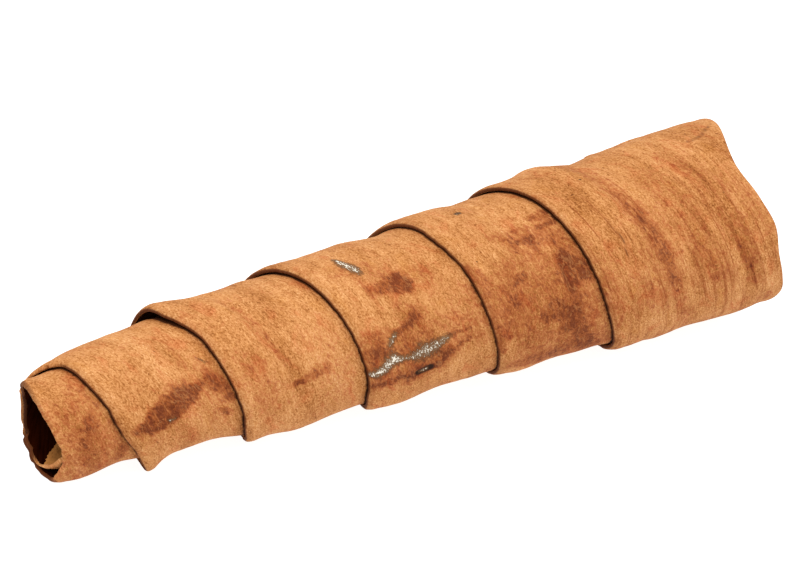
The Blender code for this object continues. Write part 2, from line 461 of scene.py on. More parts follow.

# %% Brown bark along the crusts, and painted shade beside the next turn's lip
CRUST_STAINS_AND_LIP_SHADE = (
    (0.62, 0.8, ((2.222, 1.4, 0.6), (2.226, 4.2, 0.7))),
    (0.7, 0.6, ((2.192, 6.3, 0.4), (2.188, 8.7, 0.5))),
    (0.46, 0.8, ((2.168, 10.2, 0.9), (2.176, 9.4, 0.7))),
    (0.42, 0.9, ((2.15, 8.6, 1.0), (2.19, 8.8, 1.8), (2.24, 8.4, 2.2))),
    (0.5, 0.9, ((2.2, 2.6, 1.6), (2.24, 2.6, 2.0))),
    (0.22, 1.0, ((2.12, 14.0, 1.2), (2.22, 14.6, 1.6))),
    (0.48, 0.9, ((2.262, 2.0, 1.5), (2.262, 7.0, 1.6), (2.262, 11.0, 1.4))),
    (0.85, 0.5, ((2.294, 1.0, 0.25), (2.294, 3.3, 0.28), (2.284, 4.8, 0.25), (2.293, 5.8, 0.45),
                 (2.293, 9.6, 0.55), (2.29, 10.7, 0.35), (2.275, 12.0, 0.3), (2.262, 13.3, 0.25),
                 (2.25, 15.2, 0.2))),
    (0.45, 0.9, ((2.295, 1.5, 1.0), (2.295, 9.6, 1.3), (2.272, 12.0, 1.3))),
    (0.65, 0.7, ((2.268, 10.8, 0.5), (2.266, 12.0, 0.5))),
    (0.3, 0.9, ((2.215, 14.0, 1.6), (2.25, 14.4, 1.6))),
    # painted shade, not a stain: this stroke darkens the bark beside the lip of the next turn
    (0.38, 1.0, ((2.15, 17.4, 0.9), (2.2, 17.4, 1.4), (2.25, 17.2, 1.4))),
    (0.48, 0.9, ((2.202, 4.8, 1.4), (2.225, 6.4, 1.5))),
    (0.32, 0.9, ((2.202, 11.6, 1.3), (2.236, 10.0, 1.3))),
    (0.7, 0.5, ((2.232, 12.6, 0.25), (2.229, 15.4, 0.3))),
)

# %% The mottled stains of the fifth turn
MOTTLED_STAINS = (
    (0.45, 0.6, ((3.13, 9.0, 2.8), (3.2, 7.8, 4.4), (3.3, 7.6, 5.4))),
    (0.44, 0.6, ((3.17, 13.2, 2.2), (3.25, 13.6, 2.8), (3.33, 13.8, 3.0))),
    (0.52, 0.8, ((3.13, 0.8, 0.9), (3.17, 1.4, 1.7), (3.21, 1.6, 1.9), (3.25, 1.9, 1.5))),
    (0.38, 0.9, ((3.15, 4.6, 1.4), (3.2, 4.4, 1.2))),
    (0.5, 0.6, ((3.17, 5.7, 0.5), (3.166, 6.6, 0.6))),
    (0.55, 0.45, ((3.254, 7.4, 0.8), (3.234, 9.2, 1.1), (3.246, 10.4, 1.0), (3.29, 10.0, 0.8))),
    (0.5, 0.45, ((3.24, 12.0, 0.9), (3.29, 11.6, 1.0), (3.34, 12.4, 1.2))),
    (0.85, 0.45, ((3.15, 12.9, 0.9), (3.2, 12.3, 0.9), (3.205, 12.0, 0.7))),
    (0.85, 0.45, ((3.165, 14.2, 0.8), (3.19, 14.4, 0.9))),
    (0.62, 0.7, ((3.062, 12.6, 0.5), (3.06, 14.6, 0.7))),
    (0.62, 0.7, ((3.086, 12.4, 0.4), (3.083, 14.6, 0.5))),
    (0.6, 0.7, ((3.102, 8.6, 0.3), (3.1, 10.6, 0.35), (3.13, 10.3, 0.3))),
    (0.45, 0.9, ((3.08, 6.6, 0.9), (3.088, 8.6, 1.1), (3.086, 11.0, 1.2), (3.1, 13.4, 1.6))),
    (0.4, 0.9, ((3.118, 12.8, 1.2), (3.135, 14.6, 1.2), (3.19, 14.8, 1.0))),
    (0.6, 0.6, ((3.0875, 7.7, 0.28),)),
    (0.5, 0.8, ((3.24, 0.6, 0.5), (3.29, 0.7, 0.6))),
    (0.5, 0.9, ((3.345, 2.0, 1.0), (3.355, 6.0, 1.4), (3.37, 13.0, 2.4))),
)

# %% Bands along the grain on the last turn; the first two are painted shade along a fold
BAND_STAINS_AND_FOLD_SHADE = (
    # painted shade, not stains: these two darken the groove where the end of the turn below shows
    # through
    (0.42, 1.0, ((3.93, 9.0, 0.9), (4.06, 9.4, 1.0), (4.15, 9.8, 1.1), (4.25, 10.0, 1.1),
                 (4.32, 10.2, 0.8))),
    (0.3, 1.0, ((4.12, 9.6, 1.0), (4.16, 9.8, 1.0), (4.24, 10.0, 0.9))),
    (0.26, 1.0, ((4.05, 15.4, 1.2), (4.15, 16.2, 1.4), (4.26, 16.8, 1.3))),
    (0.35, 0.9, ((4.21, 1.0, 0.9), (4.3, 1.2, 1.0))),
    (0.3, 1.0, ((4.05, 13.4, 0.6), (4.12, 14.0, 0.7), (4.19, 14.7, 0.7), (4.26, 15.4, 0.7))),
    (0.2, 1.0, ((4.21, 15.6, 1.8), (4.3, 16.4, 2.0))),
    (0.44, 1.0, ((4.17, 21.6, 0.9), (4.22, 21.4, 1.1), (4.262, 21.0, 1.0), (4.29, 20.6, 0.8))),
    (0.42, 0.9, ((4.15, 19.6, 0.5), (4.26, 20.2, 0.5))),
    (0.3, 1.0, ((4.03, 19.4, 1.4), (4.08, 20.4, 1.5))),
    (0.28, 1.0, ((4.09, 9.6, 1.8), (4.15, 10.6, 2.6), (4.22, 9.4, 3.0), (4.27, 6.6, 2.0))),
    (0.24, 1.0, ((4.17, 1.6, 1.4), (4.21, 3.0, 2.4), (4.25, 4.4, 2.2))),
    (0.28, 1.0, ((4.11, 22.8, 1.4), (4.16, 24.4, 1.7), (4.2, 25.0, 1.3))),
    (0.3, 0.9, ((4.32, 11.0, 1.2), (4.37, 11.0, 1.2))),
    (0.45, 0.8, ((4.34, 23.0, 0.7), (4.36, 23.0, 0.7))),
    (0.65, 0.4, ((4.124, 22.5, 0.18), (4.13, 22.6, 0.18))),
)

# %% The same kinds of stains on the back and the underside
BACK_STAINS = (
    (0.55, 0.6, ((0.66, 4.0, 0.9), (0.7, 6.5, 1.4), (0.72, 9.0, 0.8))),
    (0.45, 0.9, ((0.52, 10.0, 2.4), (0.6, 11.0, 3.0))),
    (0.42, 0.8, ((1.62, 9.0, 2.0), (1.72, 8.0, 3.2), (1.8, 8.5, 2.0))),
    (0.75, 0.5, ((1.7, 6.6, 0.5), (1.735, 7.6, 0.9), (1.76, 7.2, 0.6))),
    (0.7, 0.5, ((1.575, 12.2, 0.5), (1.56, 13.6, 0.7))),
    (0.5, 0.7, ((2.58, 3.0, 1.0), (2.66, 3.6, 1.6), (2.74, 3.2, 1.0))),
    (0.45, 0.8, ((2.7, 12.0, 2.4), (2.84, 12.6, 2.8))),
    (0.85, 0.4, ((2.795, 9.6, 0.8), (2.8, 10.8, 0.9))),
    (0.48, 0.7, ((3.55, 6.0, 3.0), (3.66, 7.0, 4.4), (3.76, 6.0, 2.6))),
    (0.8, 0.5, ((3.62, 5.2, 0.9), (3.65, 7.4, 1.2), (3.69, 8.2, 0.8))),
    (0.6, 0.6, ((3.74, 12.4, 0.8), (3.78, 13.2, 1.0))),
    (0.4, 1.0, ((4.48, 8.0, 1.0), (4.6, 8.8, 1.2), (4.74, 9.0, 1.0))),
    (0.36, 1.0, ((4.52, 15.0, 1.2), (4.66, 15.6, 1.2))),
)

# %% All stains together, with the few strokes of painted shade
STAINS_AND_SHADE = (
    NARROW_END_STAINS + KNOT_STAINS + FAINT_STAINS_AND_FOLD_SHADE + OVAL_STAINS + CRUST_STAINS_AND_LIP_SHADE + MOTTLED_STAINS
    + BAND_STAINS_AND_FOLD_SHADE + BACK_STAINS
)
print(len(STAINS_AND_SHADE), "stains")

# %% Silvery crusts, pits and cracks: how much on the stroke's line, then the stroke's points
CRUSTS = (
    (1.0, ((2.0125, 5.8, 0.4), (2.028, 5.9, 0.62), (2.046, 6.4, 0.8), (2.058, 6.6, 0.55))),
    (1.05, ((2.261, 1.1, 0.42), (2.263, 1.9, 0.6), (2.257, 3.0, 0.6), (2.247, 3.9, 0.75),
            (2.242, 4.6, 0.85), (2.246, 5.5, 0.45))),
    (0.75, ((2.246, 5.5, 0.45), (2.249, 6.7, 0.5), (2.252, 7.8, 1.05), (2.248, 9.0, 1.5),
            (2.246, 10.2, 1.15), (2.24, 11.5, 0.75), (2.233, 12.7, 0.45))),
    (0.8, ((2.213, 4.7, 0.4), (2.204, 5.3, 0.45), (2.195, 6.1, 0.34))),
    (0.75, ((2.2925, 7.6, 0.3), (2.2915, 8.6, 0.34))),
    (0.75, ((0.2415, 5.4, 0.26), (0.2375, 6.3, 0.26))),
    (0.55, ((0.118, 13.1, 0.22), (0.136, 13.5, 0.22))),
    (0.8, ((2.999, 5.7, 0.3), (2.993, 6.5, 0.34))),
    (0.6, ((0.292, 3.0, 0.15), (0.3, 3.2, 0.15))),
    (0.75, ((2.655, 8.0, 0.5), (2.664, 9.2, 0.7), (2.676, 10.2, 0.45))),
    (0.6, ((1.735, 7.3, 0.26), (1.742, 8.0, 0.24))),
)
PITS = (
    (1.0, ((2.2925, 7.2, 0.5), (2.2915, 9.2, 0.62))),
    (1.0, ((2.9965, 5.9, 0.34), (2.9925, 6.6, 0.34))),
    (1.0, ((4.127, 21.5, 0.14), (4.1265, 22.1, 0.14))),
    (1.0, ((4.054, 4.2, 0.14), (4.054, 4.6, 0.14))),
    (1.0, ((4.0275, 6.9, 0.1), (4.0265, 7.5, 0.1))),
    (1.0, ((3.115, 2.3, 0.2),)),
    (1.0, ((0.0667, 9.5, 0.14),)),
)
# thin cracks, and the crease that runs in from the wide rim, whose dark is painted shade
CRACKS_AND_CREASE_SHADE = (
    (1.0, ((4.108, 5.4, 0.3), (4.133, 5.3, 0.3), (4.15, 5.6, 0.3), (4.171, 5.15, 0.3),
           (4.192, 4.75, 0.3))),
    # the crease: a shallow groove whose darkening is painted shade of the fold
    (0.8, ((4.01, 24.0, 0.5), (4.006, 26.3, 0.7), (3.983, 29.2, 0.5), (3.973, 30.3, 0.4))),
)

# %% Soft folds, where the end of the turn below shows through: height, then the stroke's points
FOLDS = (
    (-0.3, ((0.96, 6.4, 0.8), (1.04, 6.8, 1.1), (1.12, 7.3, 1.2), (1.2, 8.0, 1.0),
            (1.27, 8.4, 0.8))),
    (0.18, ((0.96, 4.6, 1.2), (1.06, 5.0, 1.5), (1.14, 5.6, 1.5), (1.22, 6.2, 1.2))),
    (-0.16, ((3.9, 9.0, 1.0), (4.02, 9.4, 1.3), (4.15, 9.8, 1.3), (4.3, 9.9, 1.2))),
    (0.14, ((3.9, 7.0, 1.3), (4.02, 7.4, 1.6), (4.15, 7.7, 1.6), (4.28, 7.9, 1.3))),
    (-0.1, ((2.93, 9.0, 0.9), (3.05, 8.6, 1.2), (3.16, 8.4, 1.0))),
    (-0.1, ((4.03, 13.0, 0.7), (4.14, 13.9, 0.9), (4.24, 14.6, 0.8))),
    (-0.14, ((0.1, 13.4, 0.8), (0.2, 12.4, 1.2), (0.3, 11.2, 1.2))),
)

# %% The strokes that a column can meet, and how far off they are
REACH = 0.12                # turns: a column of the grid meets no stroke further away


def near(marks, turn):
    """The marks that a column can meet; the last thing in a mark is its stroke."""
    met = []
    for mark in marks:
        turns = [point[0] for point in mark[-1]]
        if min(turns) - REACH < turn < max(turns) + REACH:
            met.append(mark)
    return met


def off_stroke(points, turn, inset, girth):
    """Distance from a stroke's line, as a share of its half width there."""
    nearest = inf
    runs = list(zip(points, points[1:])) or [(points[0], points[0])]
    for (turn0, inset0, wide0), (turn1, inset1, wide1) in runs:
        run_x, run_y = (turn1 - turn0) * girth, inset1 - inset0
        x, y = (turn - turn0) * girth, inset - inset0
        length = run_x * run_x + run_y * run_y
        t = min(max((x * run_x + y * run_y) / length, 0), 1) if length else 0
        wide = wide0 + t * (wide1 - wide0)
        nearest = min(nearest, hypot(x - t * run_x, y - t * run_y) / wide)
    return nearest


# %% Stains at a place of the bark
WANDER = 0.25               # how far a stain's outline wanders, as a share of its half width
WANDER_SIZE = 1.3           # millimetres
WANDER_SLICE = 9.1          # any number: which slice of the noise it is
SOFTEST = 0.7               # a stain of softness 1 fades over this share of its half width


def stain_and_shade_at(stains, turn, distance_wound, inset, girth):
    """Strength of all the stain strokes together at a place of the bark, from 0 to 1; a few are
    painted shade.
    """
    place = Vector((distance_wound / WANDER_SIZE, inset / WANDER_SIZE, WANDER_SLICE))
    wander = WANDER * noise.noise(place)
    clean = 1
    for strength, softness, points in stains:
        off = off_stroke(points, turn, inset, girth) + wander
        fade = SOFTEST * softness
        clean *= 1 - strength * (1 - ease(1 - fade, 1 + fade, off))
    return 1 - clean


# %% Crusts, pits, cracks and folds at a place of the bark
def peak_at(strokes, turn, inset, girth):
    """The most on the line of a stroke, one less a half width from it, and never below -1."""
    return max([most - off_stroke(points, turn, inset, girth) for most, points in strokes] + [-1])


def fold_at(folds, turn, inset, girth):
    """Height of all the folds together, in millimetres."""
    height = 0
    for most, points in folds:
        height += most * (1 - ease(0, 1, off_stroke(points, turn, inset, girth)))
    return height


# %% [markdown]
# ## Winding the grid into the stick
#
# Every vertex of the grid is moved to its place on the bark. What is the same for a whole column
# is worked out once, then each vertex gets its marks and its radius. While its place is known,
# the numbers that the finish needs are kept on it: how far it is wound, how far it is from the
# exposed edge, and how strong the marks are there.

# %% The dark cut of the bark: its own brown, with painted shade
# how dark the cut of the bark is, its own brown together with painted shade: turns wound, 0 to 1
CUT_BROWN_AND_SHADE = (
    (-1.5, 0), (-1.44, 0.9), (-1.2, 1.0), (-0.62, 0), (-0.56, 0.9), (-0.38, 1.0), (-0.33, 0.6),
    (-0.2, 0.55), (-0.14, 0), (-0.06, 0), (0.02, 0.85), (5.0, 0.85),
)
NARROW_RIM_ENDS = -0.1      # turns at which the exposed edge leaves the narrow rim
CUT_FACE = (0.02, 0.25)     # shares of the thickness between which the cut face begins
CUT_WIDTH = (0, 0.3)        # millimetres from the lip over which its brown ends
RIM_WIDTH = (0.2, 0.7)      # the same for the narrow rim, which is brown right round
EDGE_BROWN = 0.42           # the outer face is a little browner beside the exposed lip
EDGE_WIDTH = 2.4            # millimetres


def lip_colour(turn, depth, from_lip):
    """1 where the cut of the bark shows, its own brown darkened by painted shade, and 0 on fresh
    bark.
    """
    cut_face = ease(*CUT_FACE, depth) * (1 - ease(*CUT_WIDTH, from_lip))
    if turn < NARROW_RIM_ENDS:
        cut_face = 1 - ease(*RIM_WIDTH, from_lip)
    turns, shares = zip(*CUT_BROWN_AND_SHADE)
    brown = cut_face * float(np.interp(turn, turns, shares))
    return max(brown, EDGE_BROWN * (1 - ease(0, EDGE_WIDTH, from_lip)) * ease(*RISE, turn))


# %% What is the same for a whole column of the grid
END_ROUND = 0.35            # share of the thickness that is left at the strip's two ends


def column_at(turn, distance_wound):
    """The limits of the bark at one turn, its thickness there and the marks it can meet."""
    edge = exposed_edge(turn)
    above = min(turn + 1, WIDE_END)
    wound_above = float(np.interp(above, fine_turns, wound))
    from_end = min(distance_wound, column_wound[-1] - distance_wound) * MM
    bluntness = min(from_end / half, 1)
    return SimpleNamespace(
        turn=turn, wound=distance_wound, edge=edge,
        left=left_limit(turn) + ragged_edge(turn, distance_wound) * MM,
        right=right_limit(turn),
        lift_from=right_limit(turn - 1),
        girth=2 * pi * through(CONE, max(edge / MM, 0)),
        covered=FLAP_NARROWS[1] < turn < WIDE_END - 1,
        edge_above=exposed_edge(above) / MM + ragged_edge(above, wound_above),
        fullness=END_ROUND + (1 - END_ROUND) * sqrt(1 - (1 - bluntness) ** 2),
        thinning=THIN * ease(THINS_FROM, THINS_TO, turn),
        stains=near(STAINS_AND_SHADE, turn), folds=near(FOLDS, turn),
        crusts=near(CRUSTS, turn), pits=near(PITS, turn), cracks=near(CRACKS_AND_CREASE_SHADE, turn),
    )


# %% The marks at one place of a column
OPEN = -3.0                 # millimetres: stands for "no turn lies over this place"


def marks_at(column, along, depth):
    """The numbers that the finish reads, by name."""
    turn, girth = column.turn, column.girth
    inset = (along - column.edge) / MM
    cover = along / MM - column.edge_above if column.covered else OPEN
    return {
        "stain_and_shade": stain_and_shade_at(column.stains, turn, column.wound, inset, girth),
        "crust": peak_at(column.crusts, turn, inset, girth),
        "pit": peak_at(column.pits, turn, inset, girth),
        "crack_and_crease_shade": peak_at(column.cracks, turn, inset, girth),
        "cover": min(max(cover, OPEN), -OPEN),
        "lip": lip_colour(turn, depth, (along - column.left) / MM),
        "ply": ply_at(turn, along, column.wound),
    }


# %% The radius at one place of a column
CRUST_HEIGHT = 0.07         # millimetres
PIT_DEPTH = 0.16
CRACK_DEPTH = 0.09


def radius_at(column, along, depth, marks):
    """From the centre line to the outer face where depth is 0, and to the inner one at 1."""
    turn = column.turn
    inset = (along - column.edge) / MM
    from_lip = (along - column.left) / MM
    relief = fibre_relief(column.wound, inset) + lip_relief(from_lip)
    relief += max(marks["crust"], 0) ** 0.5 * CRUST_HEIGHT
    relief -= max(marks["pit"], 0) * PIT_DEPTH + max(marks["crack_and_crease_shade"], 0) * CRACK_DEPTH
    bare = wall_radius(turn, along, column.lift_from, column.edge)
    size = flared(turn, along, bare, column.right)
    size += swelling(turn, along, size) * MM
    size += fold_at(column.folds, turn, inset, column.girth) * MM
    size -= CLOSE * (1 - ease(0, CLOSE_WIDTH, from_lip)) * ease(*RISE, turn) * MM
    size += (1 - depth) * relief * MM
    size -= BARK * (0.5 + (depth - 0.5) * column.fullness)
    size -= depth * marks["ply"] * PLY
    size += depth * column.thinning * (1 - ease(0, THIN_WIDTH, along - column.left))
    return size


# %% A flat grid, with a layer for each number that the finish reads
# the grid runs from -0.5 to 0.5 both ways
bark = bmesh.new()
bmesh.ops.create_grid(bark, x_segments=column_count - 1, y_segments=len(section), size=0.5)
grain_layer = bark.verts.layers.float_vector.new("grain")
mark_names = ("stain_and_shade", "crust", "pit", "crack_and_crease_shade", "cover", "lip", "ply")
mark_layers = {name: bark.verts.layers.float.new(name) for name in mark_names}
print(len(bark.verts), "vertices before the seam is closed")

# %% Wind the grid, column by column
def wind_column(column, verts):
    """Move one column to its place on the bark, and keep its numbers on it."""
    angle = 2 * pi * column.turn
    width = column.right - column.left - BARK
    for vert in verts:
        share, past, depth = section[round((vert.co.y + 0.5) * len(section)) % len(section)]
        along = column.left + half + share * width + past * half
        marks = marks_at(column, along, depth)
        size = radius_at(column, along, depth, marks)
        centre = BOW * sin(pi * along / LENGTH)
        vert[grain_layer] = (column.wound, (along - column.edge) / MM, depth)
        for name, layer in mark_layers.items():
            vert[layer] = marks[name]
        vert.co = (along, -size * sin(angle), centre + size * cos(angle))


columns = [[] for _ in range(column_count)]
for vert in bark.verts:
    columns[round((vert.co.x + 0.5) * (column_count - 1))].append(vert)
for turn, distance_wound, verts in zip(column_turn, column_wound, columns):
    wind_column(column_at(float(turn), float(distance_wound)), verts)
print("wound up, widest point at", round(max(-vert.co.y for vert in bark.verts) / MM, 2), "mm")

# %% Close the seam and the ends, and mark the inner face
SEAM = 1e-6                 # metres: vertices nearer than this become one
INNER_FACE = 1              # the second finish in the list
INNER_DEPTH = 0.99          # share of the thickness past which a face is an inner one
for face in bark.faces:
    if min(vert[grain_layer].z for vert in face.verts) > INNER_DEPTH:
        face.material_index = INNER_FACE
bmesh.ops.remove_doubles(bark, verts=bark.verts, dist=SEAM)
open_edges = [edge for edge in bark.edges if edge.is_boundary]
bmesh.ops.holes_fill(bark, edges=open_edges, sides=0)
bmesh.ops.recalc_face_normals(bark, faces=bark.faces)
print(sum(edge.is_boundary for edge in bark.edges), "open edges left")

# %% [markdown]
# ## Laying it down
#
# The roll tapers, so it leans until both of its halves touch the table, and where it touches
# the bark is worn flat by a hair. The lean and the point of the roll that comes to lie over the
# origin are the plain model's.

# %% Lay the stick on the table
LEAN = radians(-3.375)
FOOT = Vector((49.006, 0.416, -7.421)) * MM     # the point that comes to lie over the origin
bmesh.ops.rotate(bark, verts=bark.verts, cent=(0, 0, 0), matrix=Matrix.Rotation(LEAN, 3, "Y"))
bmesh.ops.translate(bark, verts=bark.verts, vec=-FOOT)
for vert in bark.verts:
    vert.co.z = max(vert.co.z, 0)
print("laid down, highest point at", round(max(vert.co.z for vert in bark.verts) / MM, 2), "mm")

# %% Make the piece
mesh = bpy.data.meshes.new("stick_of_bark")
bark.to_mesh(mesh)
bark.free()
mesh.shade_smooth()
stick = bpy.data.objects.new("stick_of_bark", mesh)
bpy.context.scene.collection.objects.link(stick)
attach(stick, "root")
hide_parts("cinnamon_stick")
print("triangles", sum(len(face.vertices) - 2 for face in mesh.polygons))

# %% [markdown]
# ## The finish
#
# Peeled bark is dry and matt. It has short wavy fibres along the strip, a fine grit between
# them and large soft clouds of a redder or a yellower brown. Each pattern is noise whose cells
# have a size in millimetres. The patterns read the "grain" numbers that were kept on the mesh,
# so the fibres follow the strip round the roll. They are added up to one tone, from shade to
# light, and the tone picks the colour. A stain only multiplies that colour, like a thin brown
# glaze, so the fibres still show through it.

# %% Colours and nodes
def linear(code):
    """Turn an sRGB hex colour to the linear one that shaders use."""
    parts = [int(code[k:k + 2], 16) / 255 for k in (1, 3, 5)]
    return [part / 12.92 if part <= 0.04045 else ((part + 0.055) / 1.055) ** 2.4
            for part in parts] + [1]


def add(tree, kind, settings, inputs, output=0):
    """Add a node and give one output; an input that is a socket is linked, any other is set."""
    node = tree.nodes.new("ShaderNode" + kind)
    for name, value in settings.items():
        setattr(node, name, value)
    for place, value in inputs.items():
        if isinstance(value, bpy.types.NodeSocket):
            tree.links.new(value, node.inputs[place])
        else:
            node.inputs[place].default_value = value
    return node.outputs[output]


# %% A finish, with its nodes and its shader
def new_finish(name, roughness, gloss):
    """A material whose roughness and gloss are the same all over."""
    finish = bpy.data.materials.new(name)
    finish.use_nodes = True
    shader = finish.node_tree.nodes["Principled BSDF"]
    shader.inputs["Roughness"].default_value = roughness
    shader.inputs["Specular IOR Level"].default_value = gloss
    return finish, finish.node_tree, shader


# %% A pattern, and a sum of patterns
def pattern(tree, place, size, detail, seed, roughness=0.6, warp=0.0):
    """Noise from 0 to 1 whose cells are this long and this wide, in millimetres."""
    scaled = add(tree, "Mapping", {}, {
        "Vector": place, "Scale": (1 / size[0], 1 / size[1], 0), "Location": (seed, seed, seed)})
    return add(tree, "TexNoise", {}, {
        "Vector": scaled, "Scale": 1.0, "Detail": detail, "Roughness": roughness,
        "Distortion": warp}, "Fac")


def added_up(tree, start, shares):
    """Start from a value or a mark, and add each pattern's swing about its middle."""
    total = start
    for found, share in shares:
        swing = add(tree, "Math", {"operation": "MULTIPLY_ADD"}, {0: found, 1: share, 2: -share / 2})
        total = add(tree, "Math", {"operation": "ADD"}, {0: total, 1: swing})
    return total


# %% A tint over a colour
def tint(tree, colour, value, low, high, most, code, way="MIX"):
    """Lay a colour over another where a value rises from low to high, most of it at high."""
    share = add(tree, "MapRange", {"interpolation_type": "SMOOTHSTEP"}, {
        0: value, 1: low, 2: high, 3: 0.0, 4: most})
    return add(tree, "Mix", {"data_type": "RGBA", "blend_type": way}, {
        0: share, 6: colour, 7: linear(code)}, 2)


# %% [markdown]
# ### Peeled cassia bark
#
# The outer face has been scraped and sun dried: matt, a little fuzzy, tan where it is clean.
# The tone runs through five browns, and its swing was matched until the darkest fibres and the
# palest ones were as far apart as on real bark. Grit finer than 0.2 mm would not show from here,
# so the finest pattern is drawn about that coarse.

# %% Peeled bark: what was kept on the mesh for it
peeled_bark, tree, shader = new_finish("peeled_cassia_bark", roughness=0.85, gloss=0.10)
mark = {}
for name in ("stain_and_shade", "crust", "pit", "crack_and_crease_shade", "cover", "lip"):
    mark[name] = add(tree, "Attribute", {"attribute_name": name}, {}, "Fac")
place = add(tree, "Attribute", {"attribute_name": "grain"}, {}, "Vector")
print("peeled bark reads", list(mark), "and grain")

# %% Peeled bark: its patterns, by length and width in millimetres, detail and seed
fibres = pattern(tree, place, (0.70, 0.32), 3, 0, warp=1.5)
threads = pattern(tree, place, (2.4, 0.26), 2, 5, warp=1.0)
grit = pattern(tree, place, (0.23, 0.20), 2, 11, warp=0.4)
mottle = pattern(tree, place, (1.3, 1.1), 4, 17, warp=0.8)
flakes = pattern(tree, place, (0.75, 0.55), 4, 19, roughness=0.75, warp=1.0)
clouds = pattern(tree, place, (9.0, 6.0), 3, 23, warp=0.5)
bands = pattern(tree, place, (26.0, 2.4), 3, 29, warp=0.3)
streaks = pattern(tree, place, (12.0, 0.8), 4, 31, roughness=0.7, warp=0.5)
rust = pattern(tree, place, (3.0, 2.2), 4, 37, warp=0.6)
crumbs = pattern(tree, place, (0.34, 0.34), 2, 41)
veins = pattern(tree, place, (3.4, 1.5), 3, 43, warp=0.8)

# %% Peeled bark: one tone for the clean bark, and the five browns it runs through
tone = added_up(tree, 0.5, (
    (fibres, 0.65), (grit, 0.95), (mottle, 0.45), (flakes, 0.38), (threads, 0.25), (clouds, 0.40),
    (bands, 0.35)))
colour = tint(tree, linear("#6C3812"), tone, 0.08, 0.36, 1.0, "#985F2F")
colour = tint(tree, colour, tone, 0.32, 0.52, 1.0, "#B37947")
colour = tint(tree, colour, tone, 0.50, 0.68, 1.0, "#C68F5B")
colour = tint(tree, colour, tone, 0.66, 0.92, 1.0, "#DAAE7F")
colour = tint(tree, colour, rust, 0.50, 0.74, 0.80, "#F2CDC2", "MULTIPLY")
colour = tint(tree, colour, rust, 0.46, 0.28, 0.60, "#FAF4DC", "MULTIPLY")
print(len(tree.nodes), "nodes for clean bark")

# %% Peeled bark: dark streaks along the grain of the last turn
STREAKS_FROM = 255.0        # millimetres wound
STREAKS_TO = 300.0
wound_so_far = add(tree, "SeparateXYZ", {}, {0: place})
last_turn = add(tree, "MapRange", {}, {
    0: wound_so_far, 1: STREAKS_FROM, 2: STREAKS_TO, 3: 0.0, 4: 1.0})
streaked = add(tree, "Math", {"operation": "MULTIPLY"}, {0: streaks, 1: last_turn})
colour = tint(tree, colour, streaked, 0.48, 0.68, 0.9, "#D2B4A2", "MULTIPLY")

# %% [markdown]
# ### Stains, lichen and painted shade in the crevices
#
# A stain is a thin reddish glaze, with a second one where it is strong, and pale veins run
# through it. Its even mark is broken up by the patterns, so its border is as ragged as the
# bark. Lichen is a silvery crust: pale and dark crumbs, on bark that is brown where they meet.
# Shade is painted under the next turn's lip, and the lip's cut is dark brown with painted shade.

# %% Peeled bark: stains, with a few strokes of painted shade, and their veins
VEIN_WIDTH = 0.035          # how near the middle of its noise a vein reaches
ragged = added_up(tree, mark["stain_and_shade"], ((mottle, 1.1), (flakes, 2.3), (fibres, 0.7), (grit, 0.5)))
off_vein = add(tree, "Math", {"operation": "SUBTRACT"}, {0: veins, 1: 0.5})
off_vein = add(tree, "Math", {"operation": "ABSOLUTE"}, {0: off_vein})
vein = add(tree, "MapRange", {}, {0: off_vein, 1: 0.0, 2: VEIN_WIDTH, 3: 1.0, 4: 0.0})
veined = add(tree, "Math", {"operation": "MULTIPLY"}, {0: vein, 1: mark["stain_and_shade"]})
colour = tint(tree, colour, ragged, 0.14, 0.60, 1.0, "#D8B6A8", "MULTIPLY")
colour = tint(tree, colour, ragged, 0.50, 1.05, 1.0, "#AC9A9C", "MULTIPLY")
colour = tint(tree, colour, veined, 0.15, 0.80, 0.20, "#C98F58")

# %% Peeled bark: pits and silvery lichen
colour = tint(tree, colour, mark["pit"], 0.0, 0.5, 1.0, "#2A160C")
flaked = added_up(tree, mark["crust"], ((crumbs, 1.2), (flakes, 1.4)))
colour = tint(tree, colour, flaked, -0.50, 0.25, 0.75, "#5B3A20")
colour = tint(tree, colour, flaked, 0.12, 0.55, 0.7, "#78624A")
pale = added_up(tree, flaked, ((grit, 3.0),))
colour = tint(tree, colour, pale, 0.62, 1.10, 1.0, "#D8D0C0")

# %% Peeled bark: cracks, the lip's cut with painted shade, and painted shade under the next turn
# cracks are dark brown; along the crease from the wide rim this dark is painted shade
cracks_and_crease_shade = added_up(tree, mark["crack_and_crease_shade"], ((grit, 1.0), (fibres, 0.8)))
colour = tint(tree, colour, cracks_and_crease_shade, 0.25, 0.85, 0.75, "#5B2F14")
# the cut of the lip: its own dark brown, made darker as painted shade under the lip
colour = tint(tree, colour, mark["lip"], 0.2, 0.9, 0.95, "#4A2008")
# painted shade: the bark is darkened over about a millimetre before the next turn's lip, and made
# dark brown from just before it on under it
painted_crevice_shade = added_up(tree, mark["cover"], ((flakes, 0.5), (mottle, 0.4)))
colour = tint(tree, colour, painted_crevice_shade, -1.1, 0.0, 0.45, "#B89C7C", "MULTIPLY")
colour = tint(tree, colour, painted_crevice_shade, -0.22, 0.06, 1.0, "#381804")

# %% Peeled bark: the finest relief, and everything into the shader
height = added_up(tree, 0.0, ((fibres, 0.8), (grit, 0.5), (threads, 0.4), (mottle, 0.5)))
crusted = add(tree, "MapRange", {}, {0: pale, 1: 0.2, 2: 0.9, 3: 0.0, 4: 0.9})
height = add(tree, "Math", {"operation": "ADD"}, {0: height, 1: crusted})
bump = add(tree, "Bump", {}, {"Strength": 0.7, "Distance": 0.10 * MM, "Height": height})
tree.links.new(colour, shader.inputs["Base Color"])
tree.links.new(bump, shader.inputs["Normal"])
print(len(tree.nodes), "nodes for peeled bark")

